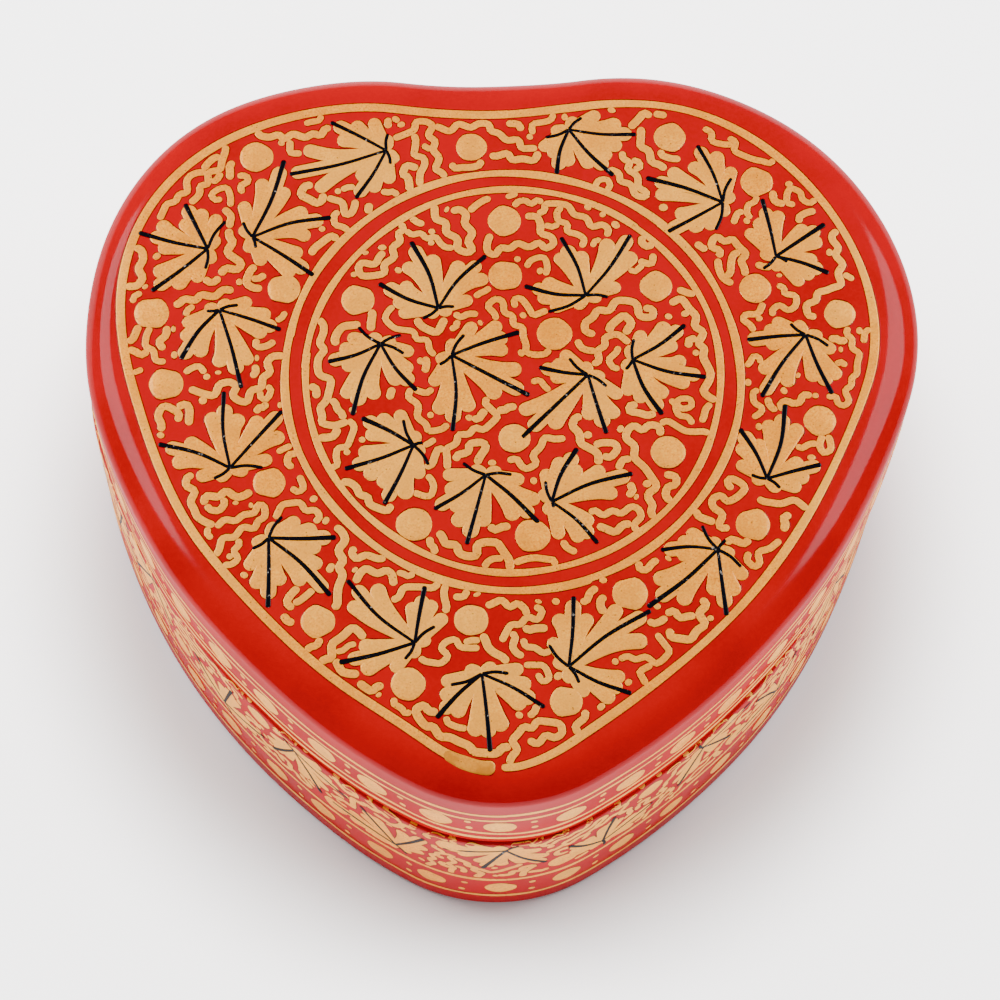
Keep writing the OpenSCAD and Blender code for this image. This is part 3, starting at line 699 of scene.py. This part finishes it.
def circleStroke(centre, radius, width, start, sweep, hand, drift=0.25):
    turns = np.radians(np.linspace(start, start + sweep, max(8, int(abs(sweep) / 4))))
    wander = radius + drift * 0.6 * np.sin(turns * 3 + hand.uniform(0, 6))
    wander += drift * 0.3 * np.sin(turns * 7 + hand.uniform(0, 6))
    points = np.stack([centre[0] + wander * np.cos(turns), centre[1] + wander * np.sin(turns)], 1)
    wave = hand.uniform(0, 6)
    return brush(points, width, 0.9, lambda t: 1 + 0.12 * np.sin(t * 25 + wave))


def paintTop():
    hand = random.Random(11)
    design = topDesign
    border = heartRing(design["border"], 240, borderDents)
    left = np.vstack([border[118:239], border[:1] + (-1.2, 0.1)])
    right = np.vstack([border[119:0:-1], border[:1] + (-0.3, 0.15)])
    lines = [
        brush(right, design["borderWidth"] * 0.85, 0.9, lambda t: 1 + 0.1 * np.sin(t * 30)),
        brush(left, design["borderWidth"], 0.9, lambda t: 0.92 + 0.45 * np.clip((t - 0.955) / 0.04, 0, 1)),
    ]
    blob = lambda t: 0.7 + 0.3 * np.clip(t * 2.5, 0, 1)
    tip = [brush(left[-6:] - (0, 0.1), design["borderWidth"] * 1.42, 0.6, blob)]
    for radius, width in design["rings"]:
        start = hand.uniform(0, 360)
        for k in range(3):
            reach = radius + hand.uniform(-0.1, 0.1)
            lines.append(circleStroke(design["ringCentre"], reach, width, start + k * 120, 126, hand))
    gold, black = [], []
    for hub, veins, feet in innerLeaves + outerLeaves:
        fingers, ribs = leafStrokes(hub, veins, feet, hand)
        gold += fingers
        black += ribs
    dots = [disc(x, y, design["dot"] * hand.uniform(0.93, 1.07)) for x, y in innerDots + outerDots]

    def allowed(x, y):  # even-odd test against the border line
        odd = np.zeros(x.shape, bool)
        for (x0, y0), (x1, y1) in zip(border, np.roll(border, -1, 0)):
            if y0 != y1:
                crosses = ((y0 > y) != (y1 > y)) & (x < (x1 - x0) * (y - y0) / (y1 - y0) + x0)
                odd ^= crosses
        fromRing = np.hypot(x - design["ringCentre"][0], y - design["ringCentre"][1])
        return odd & ((fromRing < design["rings"][1][0]) | (fromRing > design["rings"][0][0]))

    canvas = Canvas((-62, -60), (62, 58), allowed)
    canvas.mark(lines + gold + dots)
    spots = [(hand.uniform(-60, 60), hand.uniform(-58, 56)) for _ in range(9000)]
    squiggles = fillBare(canvas, spots, hand)
    print("top painted:", len(gold), "leaf strokes and", len(squiggles), "squiggles")
    return {"lines": lines, "leaves": gold + dots, "squiggles": squiggles, "veins": black, "tip": tip}


def onTop(name, strokes, paint, lift, relief, spread=0.0):
    piece = paintPiece(name, strokes, paints[paint], topZ / mm + lift, relief, spread)
    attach(piece, "lid")


top = paintTop()
for part in ("lines", "leaves", "squiggles"):
    # a wider dark stroke under each gold one: the paint's bleed and a painted shadow
    onTop("top" + part.capitalize() + "Shade", top[part], "shade", 0.0, 0.010, 0.14)
    onTop("top" + part.capitalize(), top[part], "gold", 0.006, 0.030)
onTop("topTip", top["tip"], "bronze", 0.02, 0.06)
onTop("topVeins", top["veins"], "black", 0.05, 0.06)
print("top done")


# ---- painting round the sides: x runs round the outline, y up the wall ----


class Wall:
    def __init__(self, ring, profile):  # profile rows: height along the wall, inset, z, tilt
        self.ring = np.vstack([ring, ring[:1]])
        normals = outward(ring)
        self.normals = np.vstack([normals, normals[:1]])
        self.run = np.concatenate([[0], np.cumsum(np.hypot(*np.diff(self.ring, axis=0).T))])
        self.length = self.run[-1]
        self.profile = np.array(profile)

    def wrap(self, piece):
        at = np.array([vertex.co[:] for vertex in piece.data.vertices]) / mm
        along = at[:, 0] % self.length
        place, normal = (
            np.stack([np.interp(along, self.run, line[:, k]) for k in (0, 1)], 1) for line in (self.ring, self.normals)
        )
        inset, z, tilt = (np.interp(at[:, 1], self.profile[:, 0], self.profile[:, k]) for k in (1, 2, 3))
        place = place + normal * (at[:, 2] * np.cos(tilt) - inset)[:, None]
        z = z + at[:, 2] * np.sin(tilt)
        for vertex, (x, y), height in zip(piece.data.vertices, place, z):
            vertex.co = (x * mm, y * mm, height * mm)


lidBands = {
    "lines": ((49.3, 0.95), (46.6, 0.85), (39.6, 0.9), (37.3, 1.0)),
    "dots": (43.2, 2.65, 38), "seeds": ((44.8, 0.85), (41.9, 0.85)),
}
baseBands = {
    "lines": ((14.7, 1.1), (5.3, 1.0)), "dots": (10.1, 2.5, 38), "seeds": ((11.7, 0.8), (8.0, 0.8)),
    "leaves": (22, 16.2, 34.9), "berries": 2.4,
}


def bandStrokes(wall, bands, hand):
    strokes = []
    for height, width in bands["lines"]:
        along = np.arange(-1.0, wall.length + 1.5, 1.1)
        wave, other = hand.uniform(0, 6), hand.uniform(0, 6)
        rise = 0.14 * np.sin(along * 0.16 + wave) + 0.08 * np.sin(along * 0.43 + other)
        rise = rise + (rise[0] - rise[-1]) * along / wall.length
        swell = lambda t: 1 + 0.13 * np.sin(t * 190 + wave)
        strokes.append(brush(np.stack([along, height + rise], 1), width, 1.1, swell))
    height, radius, count = bands["dots"]
    pitch = wall.length / count
    for k in range(count):
        x = (k + hand.uniform(-0.06, 0.06)) * pitch
        strokes.append(disc(x, height + hand.uniform(-0.15, 0.15), radius * hand.uniform(0.93, 1.05)))
        for low, size in bands["seeds"]:
            middle = x + pitch / 2 + hand.uniform(-0.3, 0.3)
            ends = [(middle - 0.55, low), (middle + 0.55, low + hand.uniform(-0.25, 0.25))]
            strokes.append(brush(ends, 2 * size * hand.uniform(0.8, 1.1) * 0.75, 0.4))
    return strokes


def leafBand(wall, bands, hand):
    count, low, high = bands["leaves"]
    gold, black, berries = [], [], []
    pitch = wall.length / count
    for k in range(count):
        x = k * pitch + hand.uniform(-1.2, 1.2)
        down = k % 2 == 0
        hub = (x, 32.2 + hand.uniform(-1.5, 1.0)) if down else (x, 18.8 + hand.uniform(-0.6, 1.5))
        aim = (-90 if down else 90) + hand.uniform(-35, 35)
        veins = [(aim + turn + hand.uniform(-5, 5), hand.uniform(9.5, 12.5)) for turn in (-55, 0, 55)]
        feet = [(aim + 180 + hand.uniform(-50, 50), 2.8)]
        fingers, ribs = leafStrokes(hub, veins, feet, hand)
        gold += fingers
        black += ribs
        beside = x + pitch * 0.5 + hand.uniform(-1, 1)
        height = 19.5 + hand.uniform(-0.8, 0.8) if down else 31.0 + hand.uniform(-1, 1)
        berries.append(disc(beside, height, bands["berries"] * hand.uniform(0.95, 1.1)))
    return gold + berries, black


def onWall(name, strokes, paint, lift, relief, wall, body, spread=0.0):
    piece = paintPiece(name, strokes, paints[paint], lift, relief, spread)
    wall.wrap(piece)
    bpy.ops.object.mode_set(mode="EDIT")
    bpy.ops.mesh.select_all(action="SELECT")
    bpy.ops.mesh.normals_make_consistent(inside=False)
    bpy.ops.object.mode_set(mode="OBJECT")
    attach(piece, body)


def paintWall(name, strokes, wall, body):
    # a wider dark stroke under each gold one: the paint's bleed and a painted shadow
    onWall(name + "Shade", strokes, "shade", 0.0, 0.010, wall, body, 0.14)
    onWall(name, strokes, "gold", 0.006, 0.030, wall, body)


def withinBand(strokes, low, high):  # strokes stay on the wall: their points are held inside the band
    held = []
    for points, radii in strokes:
        held.append((np.stack([points[:, 0], np.clip(points[:, 1], low + radii, high - radii)], 1), radii))
    return held


def paintSides():
    hand = random.Random(23)
    flat = [(0, 0, 0, 0), (100, 0, 100, 0)]
    lidWall = Wall(heartRing(lidShape["inset"], lidShape["around"], lidDents), flat)
    paintWall("lidBands", bandStrokes(lidWall, lidBands, hand), lidWall, "lid")
    top, rim = rimZ / mm, baseShape["rim"]
    arc = rim * math.pi / 2
    profile = [(0, 0, 0, 0), (top - rim, 0, top - rim, 0)]
    for k in range(1, baseShape["steps"] + 1):
        turn = math.pi / 2 * k / baseShape["steps"]
        profile.append((top - rim + rim * turn, rim * (1 - math.cos(turn)), top - rim * (1 - math.sin(turn)), turn))
    baseWall = Wall(heartRing(-baseShape["proud"], baseShape["around"], baseDents), profile)
    paintWall("baseBands", bandStrokes(baseWall, baseBands, hand), baseWall, "box")
    leaves, ribs = leafBand(baseWall, baseBands, hand)
    low, high = baseBands["leaves"][1], top - rim + arc * 0.85
    leaves, ribs = withinBand(leaves, low, high), withinBand(ribs, low, high)
    paintWall("baseLeaves", leaves, baseWall, "box")
    onWall("baseVeins", ribs, "black", 0.05, 0.06, baseWall, "box")
    canvas = Canvas((0, low), (baseWall.length, high), lambda x, y: x > -1, wraps=True)
    canvas.mark(leaves)
    spots = [(hand.uniform(0, baseWall.length), hand.uniform(low, high)) for _ in range(12000)]
    squiggles = fillBare(canvas, spots, hand)
    paintWall("baseSquiggles", squiggles, baseWall, "box")
    print("sides painted:", len(leaves), "leaf strokes and", len(squiggles), "squiggles")


paintSides()


# ---- linings ----


def clippedRing(inset, limit):  # the part of the heart in front of the partition
    ring = heartRing(inset, 720)
    edge = np.argmax(ring[:, 1] > limit)
    back = 720 - np.argmax(ring[::-1, 1] > limit)
    line = np.vstack([ring[back:], ring[:edge]])
    line[0, 1] = line[-1, 1] = limit
    return line


floorPadShape = {"node": "floor_pad", "inset": 5.9, "low": 14.52, "high": 15.6, "crown": 0.8, "side": 1, "gap": 0.15}
lidPadShape = {"node": "lid_lining", "inset": 3.95, "low": 52.15, "high": 53.18, "crown": 0.4, "side": -1}
padMesh = {"around": 200, "voxel": 1.3, "edge": 6.0, "frames": 18, "pressure": 4.0, "cap": 0.22}


def crownedPad(name, shape, ringAt, body):
    low, high, side = shape["low"], shape["high"], shape["side"]
    fixed, free = (low, high) if side > 0 else (high, low)
    profile = [(0.5, fixed), (0.1, fixed + side * 0.15), (0.0, fixed + side * 0.5)]
    profile += [(0.25, free - side * 0.2), (0.9, free)]
    piece = shell(name, [ringAt(shape["inset"] + inset) for inset, _ in profile], [z for _, z in profile])
    piece.data.remesh_voxel_size = padMesh["voxel"] * mm * 0.5
    bpy.ops.object.voxel_remesh()
    edge = ringAt(shape["inset"])
    start = np.array([vertex.co[:] for vertex in piece.data.vertices]) / mm
    reach = np.array([np.hypot(*(edge - spot[:2]).T).min() for spot in start])
    lean = np.clip((start[:, 2] - fixed) / (free - fixed), 0, 1)
    swell = shape["crown"] * lean * (1 - np.exp(-reach / padMesh["edge"]))
    hand = np.random.default_rng(5)
    pushes = hand.normal(0, 1, (6, 4))
    ripple = sum(np.sin(start[:, 0] * 0.11 * a + start[:, 1] * 0.13 * b + c * 3) for a, b, c, _ in pushes)
    start[:, 2] += side * (swell + lean * 0.035 * ripple * (1 - np.exp(-reach / 3)))
    setPlaces(piece, start)
    swellCloth(piece, start, side, fixed)
    bpy.ops.object.shade_smooth()
    piece.data.materials.append(linings["velvet"])
    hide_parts(shape["node"])
    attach(piece, body)


def setPlaces(piece, places):
    for vertex, place in zip(piece.data.vertices, places):
        vertex.co = [value * mm for value in place]
    piece.data.update()


def swellCloth(piece, start, side, fixed):  # pressure rounds the pad; no point moves more than the cap
    cloth = piece.modifiers.new("swell", "CLOTH")
    cloth.settings.use_pressure = True
    cloth.settings.uniform_pressure_force = padMesh["pressure"]
    cloth.settings.effector_weights.gravity = 0
    cloth.settings.quality = 4
    scene = bpy.context.scene
    for step in range(1, padMesh["frames"] + 1):
        scene.frame_set(step)
    shaped = piece.evaluated_get(bpy.context.evaluated_depsgraph_get()).to_mesh()
    after = np.array([vertex.co[:] for vertex in shaped.vertices]) / mm
    piece.modifiers.remove(cloth)
    scene.frame_set(1)
    move = after - start
    length = np.maximum(np.hypot(np.hypot(move[:, 0], move[:, 1]), move[:, 2]), 1e-6)
    move *= (padMesh["cap"] / (length + padMesh["cap"]))[:, None]
    moved = start + move
    limit = np.maximum(moved[:, 2], fixed) if side > 0 else np.minimum(moved[:, 2], fixed)
    setPlaces(piece, np.column_stack([moved[:, :2], limit]))


def velvet():
    finish = Finish("velvet", Roughness=0.95, Sheen_Weight=0.7, Sheen_Roughness=0.35, Specular_IOR_Level=0.1)
    pile = finish.noise(0.25 * mm, 2, 0.7)
    brushed = finish.noise(9 * mm, 3, 0.6).band(0.4, 0.62)
    red = finish.ramp(pile, (0.3, rgb(70, 0, 6)), (0.7, rgb(126, 4, 14)))
    finish.set(Base_Color=finish.mix(brushed * 0.55, red, rgb(84, 0, 8)))
    finish.set(Sheen_Tint=(*rgb(230, 120, 110), 1), Normal=finish.bump(pile + brushed * 0.6, 0.12 * mm))
    return finish.material


linings = {"velvet": velvet()}
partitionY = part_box("floor_pad")[1].y / mm
crownedPad("lidPad", lidPadShape, lambda inset: heartRing(inset, padMesh["around"]), "lid")


def floorPadRing(inset):
    line = clippedRing(inset, partitionY - floorPadShape["gap"] - (inset - floorPadShape["inset"]))
    return evenly(line, padMesh["around"])[0]


crownedPad("floorPad", floorPadShape, floorPadRing, "box")

wallCloth = {"low": 14.6, "high": 33.3, "along": 220, "weave": 0.3}


def addWallCloth(shape):  # one strip glued round the wall, its top edge turned in
    low, high = shape["low"], shape["high"]
    profile = [(4.95, low), (4.95, (low + high) / 2), (4.95, high - 0.3), (5.02, high - 0.05), (5.2, high)]
    profile += [(5.38, high - 0.1), (5.42, high - 1.8)]
    bpy.ops.mesh.primitive_grid_add(x_subdivisions=shape["along"], y_subdivisions=len(profile) - 1)
    piece = bpy.context.object
    piece.name = "wallCloth"
    rows = shape["along"] + 1
    for k, (inset, z) in enumerate(profile):
        line, length = evenly(clippedRing(inset, partitionY - 0.2), rows, closed=False)
        for vertex, (x, y) in zip(piece.data.vertices[k * rows : (k + 1) * rows], line):
            vertex.co = (x * mm, y * mm, z * mm)
    bpy.ops.object.shade_smooth()
    thickness = piece.modifiers.new("thickness", "SOLIDIFY")
    thickness.thickness = shape["weave"] * mm
    thickness.offset = 0
    bpy.ops.object.modifier_apply(modifier="thickness")
    piece.data.materials.append(linings["velvet"])
    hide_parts("wall_lining")
    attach(piece, "box")


addWallCloth(wallCloth)
print("linings done")


# ---- finishes for the nodes that keep their CAD shape ----


def metal(name, dark, light, roughness, tarnish=None, grain=0.25, cast=0.0):
    finish = Finish(name, Metallic=1.0)
    fine = finish.noise(grain * mm, 3, 0.6)
    cloud = finish.noise(6 * mm, 3).band(0.4, 0.65)
    colour = finish.mix(fine.band(0.3, 0.7) * 0.5 + cloud * 0.4, dark, light)
    if tarnish:
        spots = finish.noise(2.2 * mm, 3, 0.65).band(0.6, 0.72)
        colour = finish.mix(spots * 0.5, colour, tarnish)
    finish.set(Base_Color=colour, Roughness=roughness + cloud * 0.08 + fine * 0.1)
    finish.set(Normal=finish.bump(fine + cast * finish.noise(0.9 * mm, 2), (0.004 + cast * 0.03) * mm))
    return finish.material


def wood():
    finish = Finish("wood", Roughness=0.6)
    stretch = finish.add("ShaderNodeVectorMath", {"operation": "MULTIPLY"}, {0: finish.place, 1: (1, 9, 9)})
    figure = {"Vector": stretch, "Scale": 120, "Detail": 4, "Distortion": 0.6}
    grain = finish.add("ShaderNodeTexNoise", {}, figure, "Fac")
    pores = finish.add("ShaderNodeTexNoise", {}, {"Vector": stretch, "Scale": 900, "Detail": 2}, "Fac")
    pores = pores.band(0.55, 0.7)
    tone = finish.ramp(grain, (0.35, rgb(150, 104, 62)), (0.55, rgb(190, 142, 92)), (0.7, rgb(206, 162, 110)))
    finish.set(Base_Color=finish.mix(pores * 0.5, tone, rgb(112, 72, 40)), Normal=finish.bump(grain + pores, 0.06 * mm))
    return finish.material


def lacquerDark():
    finish = Finish("lacquerDark", Roughness=0.45, Coat_Weight=0.7, Coat_Roughness=0.12)
    cloud = finish.noise(5 * mm, 3).band(0.35, 0.7)
    worn = finish.noise(1.1 * mm, 3, 0.7).band(0.64, 0.72) * finish.noise(11 * mm, 1).band(0.45, 0.6)
    black = finish.mix(cloud, rgb(14, 8, 8), rgb(26, 14, 12))
    finish.set(Base_Color=finish.mix(worn * 0.6, black, rgb(86, 30, 18)))
    finish.set(Normal=finish.bump(cloud + finish.noise(0.8 * mm), 0.03 * mm))
    return finish.material


def acrylic():
    finish = Finish("acrylic", Transmission_Weight=1.0, IOR=1.49)
    smears = finish.noise(18 * mm, 3).band(0.45, 0.7)
    scratches = finish.noise(0.5 * mm, 2, 0.8).band(0.7, 0.74)
    finish.set(Base_Color=(0.97, 0.99, 1.0, 1), Roughness=0.02 + smears * 0.03 + scratches * 0.1)
    return finish.material


slotFinishes = {
    "brass": metal("brass", rgb(196, 150, 74), rgb(232, 194, 118), 0.22, rgb(170, 124, 60)),
    "steel": metal("steel", rgb(150, 152, 156), rgb(206, 208, 212), 0.2),
    "spring_steel": metal("springSteel", rgb(34, 44, 84), rgb(70, 84, 130), 0.24, rgb(90, 70, 100)),
    "zinc": metal("zinc", rgb(140, 142, 146), rgb(184, 186, 190), 0.42, rgb(120, 122, 128), 0.5, 1.0),
    "lead": metal("lead", rgb(78, 80, 86), rgb(112, 114, 120), 0.5, rgb(70, 70, 72), 0.4, 0.6),
    "wood": wood(),
    "lacquer_dark": lacquerDark(),
    "lacquer_red": paints["red"],
    "velvet": linings["velvet"],
    "clear": acrylic(),
}
for row in frame["record"]["subparts"]:
    node = frame["nodes"][row["node"]]
    node.data.materials.clear()
    node.data.materials.append(slotFinishes[row["material_slot"]])
print("finishes done")


# ---- studio ----

# glow is the floor's painted light; glowFrom and glowTo set where it ramps up round the box
studio = {"world": 0.12, "glow": 3.0, "glowFrom": 58 * mm, "glowTo": 88 * mm}


def addStudio():
    bpy.ops.mesh.primitive_plane_add(size=40, location=(0, 0, 0))
    floor = bpy.context.object
    floor.name = "floor"
    # The floor is painted light: it glows from glowFrom outwards, and the unlit ring round the box is a painted soft
    # shadow.
    finish = Finish("paperPaintedGlow", Roughness=0.9, Emission_Strength=studio["glow"])
    fromMiddle = finish.add("ShaderNodeVectorMath", {"operation": "LENGTH"}, {0: finish.place}, "Value")
    glow = finish.mix(fromMiddle.band(studio["glowFrom"], studio["glowTo"]), (0, 0, 0), (1, 1, 1))
    finish.set(Base_Color=(0.96, 0.96, 0.96, 1), Emission_Color=glow)
    floor.data.materials.append(finish.material)
    world = bpy.data.worlds.new("studio")
    bpy.context.scene.world = world
    world.use_nodes = True
    world.node_tree.nodes["Background"].inputs["Color"].default_value = (1, 1, 1, 1)
    world.node_tree.nodes["Background"].inputs["Strength"].default_value = studio["world"]
    addLight("leftPanel", (-0.33, 0.19, 0.45), 0.36, 4.4)
    addLight("rightPanel", (0.35, 0.17, 0.47), 0.36, 3.9)


addStudio()
